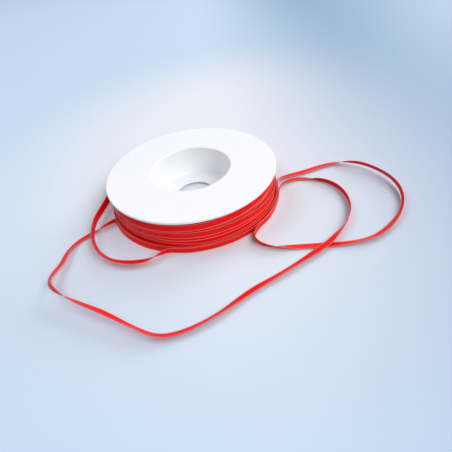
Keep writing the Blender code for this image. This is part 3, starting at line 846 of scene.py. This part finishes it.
under, tree, shader = new_material("under_red_satin", (0.6, 0.01, 0.012), 0.45)
place = tree.nodes.new("ShaderNodeTexCoord").outputs["Object"]
xyz = add(tree, "SeparateXYZ", place).outputs
turn_edges = sums(tree, "SINE", sums(tree, "MULTIPLY", xyz[2], 2 * np.pi / BAND_HEIGHT))
layered = add(tree, "CombineXYZ", xyz[0], xyz[1], sums(tree, "MULTIPLY", xyz[2], 12.0)).outputs[0]
fibres = noise(tree, layered, 160.0, 3.0)
# painted shade: the darker red fills part of each turn's band, and both reds are darker than the
# outer ribbon's
colour = blend_colours(tree, sums(tree, "MULTIPLY", band(tree, turn_edges, 0.2, 0.9), fibres),
                       (0.42, 0.006, 0.009, 1), (0.68, 0.014, 0.018, 1))
tree.links.new(colour, shader.inputs["Base Color"])
bumped(tree, shader, sums(tree, "ADD", turn_edges, fibres), 0.4, 0.05 * MM)
inner_layers.data.materials.append(under)

# %% [markdown]
# ## Table and light
#
# The reel lies on a pale table in a bright, soft light. A low lamp behind at the right lays
# the soft shadow to the left; one in front at the right gives the winding its light side;
# two weaker ones fill from above, and an even sky does the rest. They stand two metres off,
# so that their light hardly falls away across the table, and together they add up to about
# one, so that a colour shows as it is written. The table's colour carries a painted shade
# instead, bluer with distance from the reel and darker to the right. Low views look past its
# edge, where the camera sees a pale backdrop in place of the faint sky that lights the scene.

# %% Table and light
TABLE_HALF = 2.0              # metres
TABLE_NEAR = (0.752, 0.788, 0.842, 1), (0.772, 0.803, 0.856, 1)
TABLE_AWAY_SHADE, TABLE_RIGHT_SHADE = (0.54, 0.680, 0.825, 1), (0.25, 0.37, 0.517, 1)
LIGHT_POOL_CENTRE = (0.05, 0.06, 0.0)
AWAY_FROM, AWAY_TO = 0.064, 0.209     # metres from the palest place
RIGHT_TO = 0.181              # metres to the right of the reel's axis
SKY_COLOUR, SKY_STRENGTH = (0.97, 0.98, 1.0, 1), 0.19
BACKDROP_COLOUR = (0.62, 0.70, 0.80, 1)
LAMP_DISTANCE, LAMP_SIZE = 2.0, 1.1   # metres

table_mesh = bpy.data.meshes.new("table_top")
table_mesh.from_pydata([(-TABLE_HALF, -TABLE_HALF, 0), (TABLE_HALF, -TABLE_HALF, 0),
                        (TABLE_HALF, TABLE_HALF, 0), (-TABLE_HALF, TABLE_HALF, 0)],
                       [], [(0, 1, 2, 3)])
table_top = bpy.data.objects.new("table_top", table_mesh)
bpy.context.scene.collection.objects.link(table_top)
table_white, tree, shader = new_material("pale_table", (0.73, 0.77, 0.87), 0.6)
place = tree.nodes.new("ShaderNodeTexCoord").outputs["Object"]
near = blend_colours(tree, noise(tree, place, 9.0), *TABLE_NEAR)
# painted shade: the colour turns bluer away from the light pool's centre and darker to the right, for
# the light's fall-off
away = add(tree, "VectorMath", place, LIGHT_POOL_CENTRE, operation="DISTANCE").outputs["Value"]
shade_away = blend_colours(tree, band(tree, away, AWAY_FROM, AWAY_TO), near, TABLE_AWAY_SHADE)
to_the_right = add(tree, "SeparateXYZ", place).outputs[0]
top_colour = blend_colours(tree, band(tree, to_the_right, 0.0, RIGHT_TO), shade_away, TABLE_RIGHT_SHADE)
tree.links.new(top_colour, shader.inputs["Base Color"])
shader.inputs["Specular IOR Level"].default_value = 0.2
table_mesh.materials.append(table_white)

world = bpy.data.worlds.new("even_sky")
bpy.context.scene.world = world
world.use_nodes = True
sky = world.node_tree
lighting = sky.nodes["Background"]
lighting.inputs["Color"].default_value = SKY_COLOUR
lighting.inputs["Strength"].default_value = SKY_STRENGTH
backdrop = sky.nodes.new("ShaderNodeBackground")
backdrop.inputs["Color"].default_value = BACKDROP_COLOUR
chosen = sky.nodes.new("ShaderNodeMixShader")
seen = sky.nodes.new("ShaderNodeLightPath").outputs
reflected = sums(sky, "MAXIMUM", seen["Is Glossy Ray"], seen["Is Transmission Ray"])
sky.links.new(sums(sky, "MAXIMUM", seen["Is Camera Ray"], reflected), chosen.inputs[0])
sky.links.new(lighting.outputs[0], chosen.inputs[1])
sky.links.new(backdrop.outputs[0], chosen.inputs[2])
sky.links.new(chosen.outputs[0], sky.nodes["World Output"].inputs["Surface"])


def soft_lamp(name, azimuth, elevation, power, colour):
    """A square lamp that faces the reel from an azimuth and an elevation in degrees."""
    data = bpy.data.lights.new(name, "AREA")
    data.shape, data.size, data.energy, data.color = "SQUARE", LAMP_SIZE, power, colour
    lamp = bpy.data.objects.new(name, data)
    bpy.context.scene.collection.objects.link(lamp)
    turn, rise = np.radians([azimuth, elevation])
    back = np.array([np.cos(rise) * np.cos(turn), np.cos(rise) * np.sin(turn), np.sin(rise)])
    side = unit(np.cross([0.0, 0.0, 1.0], back))
    stand = np.eye(4)
    stand[:3, :3] = np.stack([side, np.cross(back, side), back], axis=1)
    stand[:3, 3] = back * LAMP_DISTANCE
    lamp.matrix_world = Matrix(stand.tolist())
    level = power * np.sin(rise) / (np.pi * LAMP_DISTANCE) ** 2
    print(f"{name}: adds {level:.2f} to a level white")


soft_lamp("back_right_lamp", 45, 25, 22.5, (0.96, 0.93, 0.945))
soft_lamp("front_right_lamp", -52, 40, 23.5, (0.96, 0.93, 0.95))
soft_lamp("right_lamp", 0, 50, 10.0, (0.95, 0.98, 0.92))
soft_lamp("back_left_lamp", 150, 50, 12.5, (0.93, 0.91, 0.97))

bpy.context.scene.view_settings.view_transform = "Standard"

# %% [markdown]
# ## Onto the body
#
# Every piece rides on the reel's one body, and the CAD solids that it stands for are hidden.

# %% Ride and hide the CAD solids
for thing, finish, nodes in (
        (upper_moulding, "white_plastic", ["upper_flange"]),
        (lower_moulding, "white_plastic", ["lower_flange"]),
        (inner_layers, "red_satin", ["ribbon_core"]),
        (wound_ribbon, "red_satin", ["ribbon_winding"]),
        (loose_ribbon, "red_satin", ["ribbon_loose_turn", "ribbon_left_loop",
                                     "ribbon_right_loop", "ribbon_front_strand"])):
    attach(thing, "root")
    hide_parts(*nodes)
